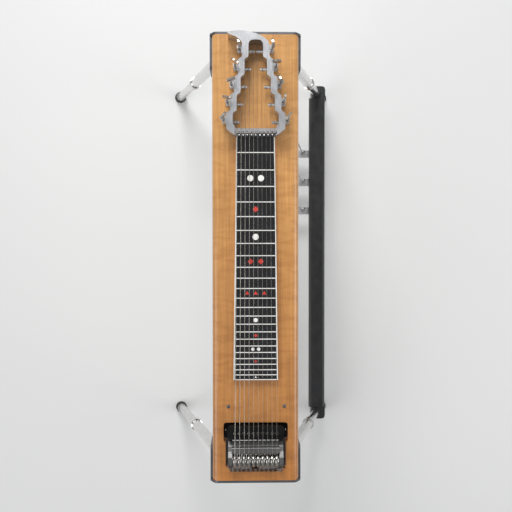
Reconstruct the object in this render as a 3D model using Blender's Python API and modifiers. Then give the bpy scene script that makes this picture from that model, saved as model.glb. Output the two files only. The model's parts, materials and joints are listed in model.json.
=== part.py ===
"""Pedal steel guitar with one neck of ten strings, three pedals and four knee levers, on four splayed legs.

Units are metres and +Z is up. The origin is on the floor, under the middle of the body. +X runs towards the
keyhead end, -X towards the changer end, +Y towards the player and -Y towards the audience.
"""

import math

import bmesh
import bpy
from mathutils import Matrix, Vector

WELD = 1e-6               # points this close are one
SIDES = 12                # flats round a shaft, a tube or a hole
FEW_SIDES = 6             # flats round a thin wire, pin or worm
CORNER_STEPS = 2          # flats round a rounded corner

# Clearances
GAP = 0.0003              # between two pieces that touch
RUNNING = 0.00035         # radial play of a shaft in its hole
PIN_PLAY = 0.001          # radial play of a linkage pin, which swings a little as it travels

# Strings and neck
STRINGS = 10
SCALE_LENGTH = 0.6096
NUT_PITCH = 0.00763
BRIDGE_PITCH = 0.00873
STRING_HEIGHT = 0.022     # underside of the strings above the deck
STRING_RADII = (0.00016, 0.0002, 0.00015, 0.00018, 0.00023, 0.00029, 0.00036, 0.00043, 0.0005, 0.0006)
FRETS = 24
FRETBOARD_MARGIN_NUT = 0.0015
FRETBOARD_MARGIN_END = 0.0022
FRETBOARD_TOP = 0.011     # above the deck
FRETBOARD_THICKNESS = 0.002

# Body
DECK_TOP = 0.705
DECK_WIDTH = 0.163
DECK_THICKNESS = 0.018
DECK_EDGE_RADIUS = 0.012
DECK_CORNER_RADIUS = 0.0055
HEAD_MARGIN = 0.0034      # deck past the keyhead
BRIDGE_TO_TAIL = 0.0414   # deck past the changer axle
APRON_THICKNESS = 0.010
FRONT_APRON_DEPTH = 0.077
REAR_APRON_DEPTH = 0.062
KNEE_RELIEF = 0.018       # rise of the rear apron's lower edge over the player's knees
ENDPLATE_THICKNESS = 0.0045
ENDPLATE_DROP = 0.112     # below the deck's top
ENDPLATE_BELOW_DECK = 0.001   # endplate's top edge below the deck's top
SHOULDER = 0.014          # drop of the endplate's sloped upper corners
ARCH_RISE = 0.010         # rise of its lower edge between the leg sockets
FLANGE_LENGTH = 0.066
FLANGE_THICKNESS = 0.0042
TUNING_WINDOW_MARGIN = 0.005   # window past the changer's fingers
TUNING_WINDOW_REACH = 0.0135   # window above and below the pull rods
JACK_BELOW_WINDOW = 0.0135
JACK_BARREL_RADIUS = 0.0080
JACK_BORE_RADIUS = 0.0046
JACK_RIM = 0.0015         # jack barrel proud of the endplate
JACK_DEPTH = 0.016        # jack barrel inside the endplate

# Keyhead
ROWS = 5
FIRST_POST = 0.0208       # from the nut
POST_PITCH = 0.03245
KEYHEAD_HEIGHT = 0.034
KEYHEAD_HALF_WIDTH = 0.0250   # at the narrowest row
RAIL_STEP = 0.0072
RAIL_WIDTH = 0.0118
CROWN_LENGTH = 0.033      # keyhead past the last post
NUT_BAR_HEIGHT = 0.0165
NUT_BAR_LENGTH = 0.014
ROLLER_RADIUS = 0.004
ROLLER_HALF = 0.0026      # half a roller's width
ROLLER_AXLE_RADIUS = 0.0016
ROLLER_AXLE_PAST = 0.0062 # axle past the outer strings
ROLLER_BITE = 0.0004      # depth to which a string beds in its roller, where it bends over the nut
POST_HEIGHT = 0.013       # post axis above the deck
POST_RADIUS = 0.003
POST_REACH = 0.012        # inwards from the rail
GEAR_RADIUS = 0.0042
WORM_RADIUS = 0.0024
WORM_OFFSET = 0.0058      # worm axis out from the rail
LUG_THICKNESS = 0.0024
LUG_SPAN = 0.0135         # from the lower lug's top to the upper lug's underside
KNOB_SHAFT_RADIUS = 0.0016
BUTTON_LENGTH = 0.0170
BUTTON_HEIGHT = 0.0150
BUTTON_THICKNESS = 0.0034
BUTTON_CLEARANCE = 0.0035  # above the rails
BUTTON_ANGLES_REAR = (140, 81, 109, 57, 19)     # degrees about Z, from the nut up, on the player's side
BUTTON_ANGLES_FRONT = (141, 165, 35, 90, 17)

# Pickup and changer cut-outs in the deck
RECESS_START = 0.0692     # from the changer axle towards the keyhead
RECESS_LENGTH = 0.0333
RECESS_HALF_WIDTH = 0.0607
RECESS_DEPTH = 0.013
RECESS_CORNER = 0.0055
CAVITY_HALF_WIDTH = 0.0568
CAVITY_PAST_AXLE = 0.0246
PICKUP_HEIGHT = 0.0165    # above the deck
PICKUP_COVER_LENGTH = 0.106
PICKUP_COVER_WIDTH = 0.0245
PICKUP_BASE_THICKNESS = 0.004
POLE_RADIUS = 0.0024

# Changer
CREST_RADIUS = 0.0127
AXLE_RADIUS = 0.00476
FINGER_WIDTH = 0.0079
FINGER_REACH = 0.060      # from the axle down to the pull rod
FINGER_FOOT_RADIUS = 0.0042
CHEEK_THICKNESS = 0.0075
CHEEK_GAP = 0.0008
BAR_GAP = 0.0014          # between the fingers' crests and the bar
BAR_LENGTH = 0.0114
BAR_TOP = 0.016           # above the deck

# Pull rods, bell cranks and cross shafts
ROD_RADIUS = 0.0012
BARREL_RADIUS = 0.0024
BARREL_LENGTH = 0.007
PIN_RADIUS = 0.0013
CRANK_RADIUS = 0.020      # from the cross shaft to the pull rod
CRANK_THICKNESS = 0.0020
CRANK_CLEARANCE = 0.0004  # between a crank and the barrel of its rod
PIN_PAST_CRANK = 0.0005
CRANK_EYE_RADIUS = 0.0045
SHAFT_RADIUS = 0.0045
SHAFT_SEAT = 0.0055       # depth of a shaft's end in an apron
HUB_RADIUS = 0.0080
TUNING_NUT_RADIUS = 0.0034
TUNING_NUT_LENGTH = 0.014

# Pedals: a, b and c, counted from the keyhead end
PEDAL_NAMES = ("a", "b", "c")
PEDAL_C_INSET = 0.299     # from the keyhead end of the deck
PEDAL_PITCH = 0.080
PEDAL_TRAVEL_DEG = 8.0
PEDAL_ARM = 0.030         # on the cross shaft
PEDAL_ARM_INSET = 0.0315  # from the deck's audience side
PEDAL_ROD_LEVER = 0.038   # on the pedal
PEDAL_ROD_RADIUS = 0.0016
PEDAL_LENGTH = 0.229      # from its axle
PEDAL_WIDTH = 0.052
PEDAL_NECK_WIDTH = 0.020
PEDAL_THICKNESS = 0.007
PEDAL_AXLE_Z = 0.076
PEDAL_AXLE_RADIUS = 0.004
PEDAL_HUB_RADIUS = 0.0085
PEDAL_HUB_WIDTH = 0.022
LUG_OFFSET = 0.006        # the rod's lug beside the pedal's middle
BAR_WIDTH = 0.044
BAR_HEIGHT = 0.040
BAR_WALL = 0.004
CLAMP_HALF = 0.019        # half the width of the clamp round a leg

# Knee levers, with the strings that each control works
KNEE_SPACE = 0.150        # between the two levers of one knee
KNEES_APART = 0.115
KNEE_INSET = 0.0245       # from the deck's player side
KNEE_DROP = 0.235         # lever's tip below its shaft
KNEE_PAD_WIDTH = 0.030
KNEE_PAD_LENGTH = 0.085
KNEE_PAD_THICKNESS = 0.006
CONTROLS = {
    "pedal_a": (5, 10),
    "pedal_b": (3, 6),
    "pedal_c": (4,),
    "lkl": (8,),
    "lkr": (7,),
    "rkl": (1,),
    "rkr": (2, 9),
}

# Legs
LEG_RADIUS = 0.0125
LEG_LOWER_RADIUS = 0.0105
FOOT_RADIUS = 0.0155
FOOT_HEIGHT = 0.034
SOCKET_WALL = 0.0032
SOCKET_DEPTH = 0.048
LEG_TOP_INSET_X = 0.013   # from the deck's end, at the socket's mouth
LEG_TOP_INSET_Y = 0.0155  # from the deck's side, at the socket's mouth
FOOT_PAST_END = 0.033     # foot's middle past the deck's end
FOOT_PAST_SIDE = 0.1235   # foot's middle past the deck's side

# Places that follow from the sizes above
KEYHEAD_LENGTH = FIRST_POST + (ROWS - 1) * POST_PITCH + CROWN_LENGTH
BODY_LENGTH = HEAD_MARGIN + KEYHEAD_LENGTH + SCALE_LENGTH + BRIDGE_TO_TAIL
HEAD_END = BODY_LENGTH / 2
TAIL_END = -HEAD_END
NUT_X = HEAD_END - HEAD_MARGIN - KEYHEAD_LENGTH
BRIDGE_X = NUT_X - SCALE_LENGTH
HALF_WIDTH = DECK_WIDTH / 2
DECK_UNDER = DECK_TOP - DECK_THICKNESS
AXLE_Z = DECK_TOP + STRING_HEIGHT - GAP - CREST_RADIUS
ROD_Z = AXLE_Z - FINGER_REACH
SHAFT_Z = ROD_Z + CRANK_RADIUS
CRANK_OFFSET = BARREL_RADIUS + CRANK_CLEARANCE + CRANK_THICKNESS / 2   # crank's middle beside the rod
APRON_INNER = HALF_WIDTH - APRON_THICKNESS
LEG_TOP_Y = HALF_WIDTH - LEG_TOP_INSET_Y
FOOT_Y = HALF_WIDTH + FOOT_PAST_SIDE
KNEE_Y = HALF_WIDTH - KNEE_INSET
PEDAL_ARM_Y = HALF_WIDTH - PEDAL_ARM_INSET
PEDAL_C_X = HEAD_END - PEDAL_C_INSET
CHANGER_HALF = (STRINGS - 1) / 2 * BRIDGE_PITCH + FINGER_WIDTH / 2 + CHEEK_GAP
PEDAL_X = {name: PEDAL_C_X + (2 - i) * PEDAL_PITCH for i, name in enumerate(PEDAL_NAMES)}
LKL_X = PEDAL_C_X + PEDAL_ARM + (PEDAL_PITCH - PEDAL_ARM) / 2
SHAFT_X = {
    "pedal_a": PEDAL_X["a"] + PEDAL_ARM,
    "pedal_b": PEDAL_X["b"] + PEDAL_ARM,
    "pedal_c": PEDAL_X["c"] + PEDAL_ARM,
    "lkl": LKL_X,
    "lkr": LKL_X - KNEE_SPACE,
    "rkl": LKL_X - KNEE_SPACE - KNEES_APART,
    "rkr": LKL_X - 2 * KNEE_SPACE - KNEES_APART,
}
LEG_MOUTH_Z = DECK_TOP - ENDPLATE_DROP
TUNING_WINDOW_HALF = CHANGER_HALF + TUNING_WINDOW_MARGIN
TUNING_WINDOW_LOW = ROD_Z - TUNING_WINDOW_REACH
TUNING_WINDOW_HIGH = ROD_Z + TUNING_WINDOW_REACH
JACK_Z = TUNING_WINDOW_LOW - JACK_BELOW_WINDOW

ACROSS = {
    "XY": Matrix.Identity(4),
    "XZ": Matrix.Rotation(math.pi / 2, 4, "X"),
    "YZ": Matrix(((0, 0, 1, 0), (1, 0, 0, 0), (0, 1, 0, 0), (0, 0, 0, 1))),
}


# Scene, collections and materials

def clear_scene():
    for old in list(bpy.data.objects):
        bpy.data.objects.remove(old, do_unlink=True)


def new_collection(name):
    group = bpy.data.collections.new(name)
    bpy.context.scene.collection.children.link(group)
    return group


def new_material(name, colour, roughness, metallic):
    material = bpy.data.materials.new(name)
    material.use_nodes = True
    shader = material.node_tree.nodes["Principled BSDF"]
    shader.inputs["Base Color"].default_value = (*colour, 1)
    shader.inputs["Roughness"].default_value = roughness
    shader.inputs["Metallic"].default_value = metallic
    material.diffuse_color = (*colour, 1)
    return material


# Shape tools, all in the part's own frame

def string_y(number, pitch):
    """Strings count from 1, the thinnest, on the audience side."""
    return (number - (STRINGS + 1) / 2) * pitch


def finished(name, mesh, weld=True):
    """A mesh object in the parts' collection, with its caps welded and its faces pointing out."""
    if weld:
        work = bmesh.new()
        work.from_mesh(mesh)
        bmesh.ops.remove_doubles(work, verts=work.verts, dist=WELD)
        bmesh.ops.recalc_face_normals(work, faces=work.faces)
        work.to_mesh(mesh)
        work.free()
    piece = bpy.data.objects.new(name, mesh)
    PARTS.objects.link(piece)
    return piece


def box(name, low, high):
    low, high = Vector(low), Vector(high)
    mesh = bpy.data.meshes.new(name)
    work = bmesh.new()
    bmesh.ops.create_cube(work, size=1)
    bmesh.ops.scale(work, vec=high - low, verts=work.verts)
    bmesh.ops.translate(work, vec=(low + high) / 2, verts=work.verts)
    work.to_mesh(mesh)
    work.free()
    return finished(name, mesh)


def along(start, end):
    """The matrix that takes +Z at the origin to the line from start to end."""
    start, end = Vector(start), Vector(end)
    turn = (end - start).to_track_quat("Z", "X").to_matrix().to_4x4()
    return Matrix.Translation(start) @ turn


def rod(name, start, end, radius, sides=SIDES):
    """A cylinder from start to end."""
    length = (Vector(end) - Vector(start)).length
    mesh = bpy.data.meshes.new(name)
    work = bmesh.new()
    bmesh.ops.create_cone(
        work, cap_ends=True, segments=sides, radius1=radius, radius2=radius, depth=length,
        matrix=along(start, end) @ Matrix.Translation((0, 0, length / 2)),
    )
    work.to_mesh(mesh)
    work.free()
    return finished(name, mesh)


def baked(piece, name=None, weld=True):
    """The piece with its modifiers made real, as a mesh in world places."""
    bpy.context.view_layer.update()
    depsgraph = bpy.context.evaluated_depsgraph_get()
    mesh = bpy.data.meshes.new_from_object(piece.evaluated_get(depsgraph))
    mesh.transform(piece.matrix_world)
    name = name or piece.name
    bpy.data.objects.remove(piece)
    result = finished(name, mesh, weld)
    result.name = name
    return result


def merge_caps(mesh):
    """Makes each of the two flat ends of an extruded outline one face."""
    work = bmesh.new()
    work.from_mesh(mesh)
    for height in (min(v.co.z for v in work.verts), max(v.co.z for v in work.verts)):
        cap = [face for face in work.faces if all(abs(v.co.z - height) < 1e-6 for v in face.verts)]
        bmesh.ops.dissolve_faces(work, faces=cap)
    work.to_mesh(mesh)
    work.free()


def plate(name, loops, thickness, plane="XY", middle=(0, 0, 0)):
    """A flat outline with its holes, given as loops of points in the plane, and its thickness across the plane."""
    curve = bpy.data.curves.new(name, "CURVE")
    curve.dimensions = "2D"
    curve.fill_mode = "BOTH"
    curve.extrude = thickness / 2
    for loop in loops:
        spline = curve.splines.new("POLY")
        spline.points.add(len(loop) - 1)
        for point, (u, v) in zip(spline.points, loop):
            point.co = (u, v, 0, 1)
        spline.use_cyclic_u = True
    outline = bpy.data.objects.new(name, curve)
    PARTS.objects.link(outline)
    flat = baked(outline, name)
    if len(loops) == 1:
        merge_caps(flat.data)
    flat.data.transform(Matrix.Translation(middle) @ ACROSS[plane])
    return flat


def tube(name, points, radius, resolution=0):
    """A round wire along the points, closed at both ends."""
    curve = bpy.data.curves.new(name, "CURVE")
    curve.dimensions = "3D"
    curve.bevel_depth = radius
    curve.bevel_resolution = resolution
    curve.use_fill_caps = True
    spline = curve.splines.new("POLY")
    spline.points.add(len(points) - 1)
    for point, place in zip(spline.points, points):
        point.co = (*place, 1)
    wire = bpy.data.objects.new(name, curve)
    PARTS.objects.link(wire)
    return baked(wire)


def turned(name, profile, start, end, steps=SIDES):
    """A profile of (radius, height) points, from its top down, turned about the line from start to end."""
    mesh = bpy.data.meshes.new(name)
    corners = [(radius, 0, height) for radius, height in profile]
    mesh.from_pydata(corners, [(i, i + 1) for i in range(len(corners) - 1)], [])
    piece = bpy.data.objects.new(name, mesh)
    PARTS.objects.link(piece)
    piece.matrix_world = along(start, end)
    screw = piece.modifiers.new("Turn", "SCREW")
    screw.steps = steps
    screw.render_steps = steps
    screw.use_merge_vertices = True
    screw.merge_threshold = 1e-6
    return baked(piece)


def boolean(piece, other, operation):
    modifier = piece.modifiers.new(operation.capitalize(), "BOOLEAN")
    modifier.operation = operation
    modifier.solver = "EXACT"
    modifier.object = other
    return modifier


def fuse(piece, *others):
    """One body made of overlapping pieces, under the first one's name."""
    name = piece.name
    for other in others:
        boolean(piece, other, "UNION")
        piece = baked(piece, name, weld=False)
        bpy.data.objects.remove(other)
    return piece


def cut(piece, *cutters):
    """Takes each cutter out of the piece, and leaves it as a hidden guide among the cutters."""
    for cutter in cutters:
        PARTS.objects.unlink(cutter)
        CUTTERS.objects.link(cutter)
        cutter.hide_render = True
        cutter.display_type = "WIRE"
        boolean(piece, cutter, "DIFFERENCE")
    return piece


def arc(centre, radius, start, end, steps):
    """Points from one angle to another, in degrees, both ends included."""
    angles = [math.radians(start + (end - start) * i / steps) for i in range(steps + 1)]
    return [(centre[0] + radius * math.cos(a), centre[1] + radius * math.sin(a)) for a in angles]


def ring(centre, radius, sides=SIDES):
    return arc(centre, radius, 0, 360 - 360 / sides, sides - 1)


def rounded(corners, radius, steps=CORNER_STEPS):
    """The closed outline through the corners, each one rounded as far as its sides allow."""
    points = []
    radii = radius if isinstance(radius, (list, tuple)) else [radius] * len(corners)
    for i, corner in enumerate(corners):
        here = Vector(corner)
        back = Vector(corners[i - 1]) - here
        ahead = Vector(corners[(i + 1) % len(corners)]) - here
        half = back.angle(ahead) / 2
        reach = min(radii[i] / math.tan(half), back.length / 2.01, ahead.length / 2.01)
        if reach < 1e-5 or half > math.radians(89):
            points.append(tuple(here))
            continue
        start = here + back.normalized() * reach
        finish = here + ahead.normalized() * reach
        for k in range(steps + 1):
            t = k / steps
            point = start * (1 - t) ** 2 + here * 2 * t * (1 - t) + finish * t ** 2
            points.append(tuple(point))
    return points


def rectangle(low, high, radius=0, steps=CORNER_STEPS):
    corners = [(low[0], low[1]), (high[0], low[1]), (high[0], high[1]), (low[0], high[1])]
    return rounded(corners, radius, steps) if radius else corners


def link_outline(first, first_radius, second, second_radius, steps=6):
    """Two circles with the straight sides that touch them both, as of a crank or a lever."""
    run = Vector(second) - Vector(first)
    lean = math.degrees(math.acos((first_radius - second_radius) / run.length))
    facing = math.degrees(math.atan2(run.y, run.x))
    outer = arc(first, first_radius, facing + lean, facing + 360 - lean, steps * 2)
    return outer + arc(second, second_radius, facing - lean, facing + lean, steps)


def dress(piece, material, pivot=None, parent=None, smooth=True):
    """Gives a finished piece its material, its origin on the pivot, its parent and smooth round faces."""
    piece.data.materials.clear()
    piece.data.materials.append(material)
    if smooth:
        piece.data.shade_smooth()
        piece.data.set_sharp_from_angle(angle=math.radians(35))
    if pivot is not None:
        piece.data.transform(Matrix.Translation(-Vector(pivot)))
        piece.location = pivot
    if parent is not None:
        piece.parent = parent
        piece.matrix_parent_inverse = parent.matrix_world.inverted()
    return piece


# Body

def shaft_seats(side):
    """Cutters for the blind holes that carry the cross shafts, in the apron on one side."""
    depth = SHAFT_SEAT + GAP
    return [
        rod(f"seat_{name}_{side}", (x, side * (APRON_INNER - GAP), SHAFT_Z),
            (x, side * (APRON_INNER + depth), SHAFT_Z), SHAFT_RADIUS + RUNNING)
        for name, x in SHAFT_X.items()
    ]


def make_deck():
    middle_z = (DECK_TOP + DECK_UNDER) / 2
    low, high = DECK_UNDER, DECK_TOP
    section = [(-HALF_WIDTH, low), (HALF_WIDTH, low)]
    edge = HALF_WIDTH - DECK_EDGE_RADIUS
    section += arc((edge, high - DECK_EDGE_RADIUS), DECK_EDGE_RADIUS, 0, 90, 5)
    section += arc((-edge, high - DECK_EDGE_RADIUS), DECK_EDGE_RADIUS, 90, 180, 5)
    deck = plate("top_deck", [section], BODY_LENGTH, "YZ")

    outline = rectangle((TAIL_END, -HALF_WIDTH - GAP), (HEAD_END, HALF_WIDTH + GAP), DECK_CORNER_RADIUS)
    corners = plate("deck_plan", [outline], DECK_THICKNESS * 2, "XY", (0, 0, middle_z))
    boolean(deck, corners, "INTERSECT")
    deck = baked(deck, "top_deck", weld=False)
    bpy.data.objects.remove(corners)

    recess_end = BRIDGE_X + RECESS_START - RECESS_LENGTH
    recess = plate(
        "cut_pickup_recess",
        [rectangle((recess_end - RECESS_CORNER, -RECESS_HALF_WIDTH),
                   (BRIDGE_X + RECESS_START, RECESS_HALF_WIDTH), RECESS_CORNER)],
        RECESS_DEPTH * 2, "XY", (0, 0, DECK_TOP),
    )
    w = CAVITY_HALF_WIDTH
    tail = BRIDGE_X - CAVITY_PAST_AXLE
    cavity = plate(
        "cut_changer_cavity",
        [rounded([(recess_end, -w), (recess_end, w), (tail + 0.012, w), (tail, w - 0.0095),
                  (tail, -w + 0.006), (tail + 0.006, -w + 0.006), (tail + 0.006, -w)],
                 [0.001, 0.001, 0.004, 0.004, 0.002, 0.002, 0.002], 2)],
        DECK_THICKNESS * 3, "XY", (0, 0, middle_z),
    )
    return cut(deck, recess, cavity)


def apron_outline(depth, relief):
    """An apron's long face, with notches at its lower corners for the leg sockets."""
    end = HEAD_END - GAP
    notch_x = HEAD_END - LEG_TOP_INSET_X - LEG_RADIUS - SOCKET_WALL - 0.009
    notch_z = LEG_MOUTH_Z + SOCKET_DEPTH + 0.006
    low = DECK_TOP - DECK_THICKNESS - depth
    top = DECK_UNDER - GAP
    corners = [(-end, top), (-end, notch_z), (-notch_x, notch_z), (-notch_x, low)]
    radii = [0, 0, 0.003, 0.010]
    if relief:
        reach = KNEE_SPACE + KNEES_APART
        corners += [(-reach - 0.05, low), (-reach, low + relief), (reach, low + relief), (reach + 0.05, low)]
        radii += [0.05, 0.05, 0.05, 0.05]
    corners += [(notch_x, low), (notch_x, notch_z), (end, notch_z), (end, top)]
    radii += [0.010, 0.003, 0, 0]
    return rounded(corners, radii)


def make_aprons():
    front_y = -HALF_WIDTH + APRON_THICKNESS / 2
    front = plate("front_apron", [apron_outline(FRONT_APRON_DEPTH, 0)], APRON_THICKNESS, "XZ", (0, front_y, 0))
    rear = plate("rear_apron", [apron_outline(REAR_APRON_DEPTH, KNEE_RELIEF)], APRON_THICKNESS, "XZ",
                 (0, -front_y, 0))
    return cut(front, *shaft_seats(-1)), cut(rear, *shaft_seats(1))


def leg_line(end, side):
    """A leg's axis: its closed upper end in the socket, and its foot's middle on the floor."""
    mouth = Vector((end * (HEAD_END - LEG_TOP_INSET_X), side * LEG_TOP_Y, LEG_MOUTH_Z))
    foot = Vector((end * (HEAD_END + FOOT_PAST_END), side * FOOT_Y, 0))
    up = (mouth - foot).normalized()
    return mouth + up * (SOCKET_DEPTH - SOCKET_WALL - GAP), foot, up


def make_endplate(name, end):
    """A cast endplate with its flanges round the aprons and its two leg sockets."""
    inner = HEAD_END + GAP
    outer = inner + ENDPLATE_THICKNESS
    half = HALF_WIDTH + GAP + FLANGE_THICKNESS
    top = DECK_TOP - ENDPLATE_BELOW_DECK
    low = LEG_MOUTH_Z
    lobe = LEG_TOP_Y - LEG_RADIUS - SOCKET_WALL - RUNNING - FLANGE_THICKNESS / 2
    outline = rounded(
        [(-half, top - SHOULDER), (-half + 0.7 * SHOULDER, top), (half - 0.7 * SHOULDER, top),
         (half, top - SHOULDER), (half, low), (lobe, low), (lobe - ARCH_RISE, low + ARCH_RISE),
         (-lobe + ARCH_RISE, low + ARCH_RISE), (-lobe, low), (-half, low)],
        [0.008, 0.008, 0.008, 0.008, 0.008, 0.006, 0.006, 0.006, 0.006, 0.008], 2,
    )
    loops = [outline]
    if end < 0:
        loops.append(rectangle((-TUNING_WINDOW_HALF, TUNING_WINDOW_LOW),
                               (TUNING_WINDOW_HALF, TUNING_WINDOW_HIGH), 0.006, 2))
    shell = plate(name, loops, ENDPLATE_THICKNESS, "YZ", (end * (inner + outer) / 2, 0, 0))
    pieces = []
    for side in (-1, 1):
        near = side * (HALF_WIDTH + GAP)
        flange = rounded(
            [(end * outer - end * 0.001, top - 0.014), (end * (outer - FLANGE_LENGTH), top - 0.016),
             (end * (outer - FLANGE_LENGTH), low + 0.030), (end * (outer - FLANGE_LENGTH * 0.55), low),
             (end * outer - end * 0.001, low)], [0.001, 0.006, 0.012, 0.012, 0.001], 2,
        )
        pieces.append(plate("flange", [flange], FLANGE_THICKNESS, "XZ",
                            (0, near + side * FLANGE_THICKNESS / 2, 0)))
        closed_end, foot, up = leg_line(end, side)
        socket_radius = LEG_RADIUS + RUNNING + SOCKET_WALL
        socket = rod("socket", closed_end - up * (SOCKET_DEPTH + 0.01), closed_end + up * SOCKET_WALL,
                     socket_radius)
        floor_cut = box("socket_floor", (-1, -1, low - 0.06), (1, 1, low))
        boolean(socket, floor_cut, "DIFFERENCE")
        face = end * (outer - 0.001)
        outside = box("socket_outside", (min(face, end), -1, 0), (max(face, end), 1, 1))
        boolean(socket, outside, "DIFFERENCE")
        socket = baked(socket, weld=False)
        bpy.data.objects.remove(floor_cut)
        bpy.data.objects.remove(outside)
        pieces.append(socket)
    if end < 0:
        pieces.append(rod("jack_barrel", (-outer - JACK_RIM, 0, JACK_Z), (-inner + JACK_DEPTH, 0, JACK_Z),
                          JACK_BARREL_RADIUS))
    shell = fuse(shell, *pieces)
    for side in (-1, 1):
        closed_end, foot, up = leg_line(end, side)
        cut(shell, rod("bore", closed_end - up * (SOCKET_DEPTH + 0.02), closed_end + up * GAP,
                       LEG_RADIUS + RUNNING))
    if end < 0:
        cut(shell, rod("cut_jack_bore", (-outer - 2 * JACK_RIM, 0, JACK_Z),
                       (-inner + JACK_DEPTH - 2 * JACK_RIM, 0, JACK_Z), JACK_BORE_RADIUS))
    return shell


def make_leg(name, end, side):
    """A leg tube in its socket, with a step to its lower tube, a collar and a rubber foot cut flat on the floor."""
    top, foot, up = leg_line(end, side)
    below = foot - up * 0.006
    length = (top - below).length
    step = length * 0.42
    profile = [
        (0, length), (LEG_RADIUS - 0.002, length), (LEG_RADIUS, length - 0.002),
        (LEG_RADIUS, step + 0.011), (LEG_RADIUS + 0.0025, step + 0.010), (LEG_RADIUS + 0.0025, step - 0.010),
        (LEG_LOWER_RADIUS, step - 0.011), (LEG_LOWER_RADIUS, FOOT_HEIGHT + 0.003),
        (FOOT_RADIUS - 0.002, FOOT_HEIGHT), (FOOT_RADIUS, 0.014), (FOOT_RADIUS, 0), (0, 0),
    ]
    leg = turned(name, profile, below, top)
    floor = box(f"cut_floor_{name}", foot - Vector((0.04, 0.04, 0.03)), (foot.x + 0.04, foot.y + 0.04, 0))
    return cut(leg, floor)


# Neck

def neck_outline(start, end):
    """The fretboard's tapered outline between two distances from the nut."""
    def half(distance):
        nut = (STRINGS - 1) / 2 * NUT_PITCH + FRETBOARD_MARGIN_NUT
        bridge = (STRINGS - 1) / 2 * BRIDGE_PITCH + FRETBOARD_MARGIN_END
        return nut + (bridge + 0.0022 - nut) * distance / SCALE_LENGTH
    return [(NUT_X - start, -half(start)), (NUT_X - start, half(start)),
            (NUT_X - end, half(end)), (NUT_X - end, -half(end))]


def make_neck():
    length = SCALE_LENGTH * (1 - 2 ** (-FRETS / 12)) + 0.0008
    start = NUT_BAR_LENGTH * 0.35 + GAP
    low = DECK_TOP + GAP
    board_under = DECK_TOP + FRETBOARD_TOP - FRETBOARD_THICKNESS
    block_top = board_under - GAP
    block = plate("neck_block", [neck_outline(start, length)], block_top - low, "XY",
                  (0, 0, (low + block_top) / 2))
    board = plate("fretboard", [neck_outline(start, length)], FRETBOARD_THICKNESS, "XY",
                  (0, 0, board_under + FRETBOARD_THICKNESS / 2))
    return block, board


# Keyhead

def post_x(row):
    """Rows count from 0 at the nut."""
    return NUT_X + FIRST_POST + row * POST_PITCH


def rail_half(row):
    """Half the keyhead's outer width at a row."""
    return KEYHEAD_HALF_WIDTH + (ROWS - 1 - row) * RAIL_STEP


def rail_side(inset, start, bend):
    """One side's stepped edge, from the nut up: an S-shaped step between each two rows."""
    points = [(NUT_X + start, rail_half(0) - inset)]
    for row in range(ROWS - 1):
        wide, narrow = rail_half(row) - inset, rail_half(row + 1) - inset
        middle = (post_x(row) + post_x(row + 1)) / 2 + 0.0005
        for along_step, share in ((-1, 0), (-0.45, 0.28), (0.35, 0.9), (1, 1)):
            points.append((middle + along_step * bend, wide + (narrow - wide) * share))
    return points


def keyhead_loops():
    foot = NUT_X - 0.0045
    right = [(x, -y) for x, y in rail_side(0, 0.010, 0.0042)]
    left = rail_side(0, 0.010, 0.0042)
    crown = post_x(ROWS - 1)
    w = rail_half(ROWS - 1)
    crown_edge = [
        (crown + 0.007, -w), (crown + 0.0155, -w + 0.0035), (crown + 0.0225, -w + 0.0125),
        (crown + 0.0280, -0.0005), (crown + 0.0315, 0.0140), (crown + CROWN_LENGTH, 0.0287),
        (crown + 0.0322, 0.0430), (crown + 0.0300, 0.0510), (crown + 0.0282, 0.0514),
        (crown + 0.0255, 0.0460), (crown + 0.0222, 0.0370), (crown + 0.0170, 0.0290), (crown + 0.0100, w),
    ]
    foot_w = rail_half(0)
    outer = [(foot, -foot_w + 0.0140), (foot + 0.0015, -foot_w + 0.0120), (foot + 0.0098, -foot_w + 0.0008)]
    outer += right + crown_edge + left[::-1]
    outer += [(foot + 0.0098, foot_w - 0.0008), (foot + 0.0015, foot_w - 0.0120), (foot, foot_w - 0.0140)]

    inner_left = rail_side(RAIL_WIDTH, 0.0150, 0.0036)
    inner_right = [(x, -y) for x, y in inner_left]
    sill = NUT_X + NUT_BAR_LENGTH - 0.0045
    inner_w = rail_half(0) - RAIL_WIDTH
    top_w = rail_half(ROWS - 1) - RAIL_WIDTH
    top = arc((crown + 0.0080, -top_w + 0.0085), 0.0085, 270, 360, 3)
    top += arc((crown + 0.0080, top_w - 0.0085), 0.0085, 0, 90, 3)
    window = [(sill, -inner_w + 0.006)] + inner_right + top + inner_left[::-1] + [(sill, inner_w - 0.006)]
    return outer, window


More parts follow.
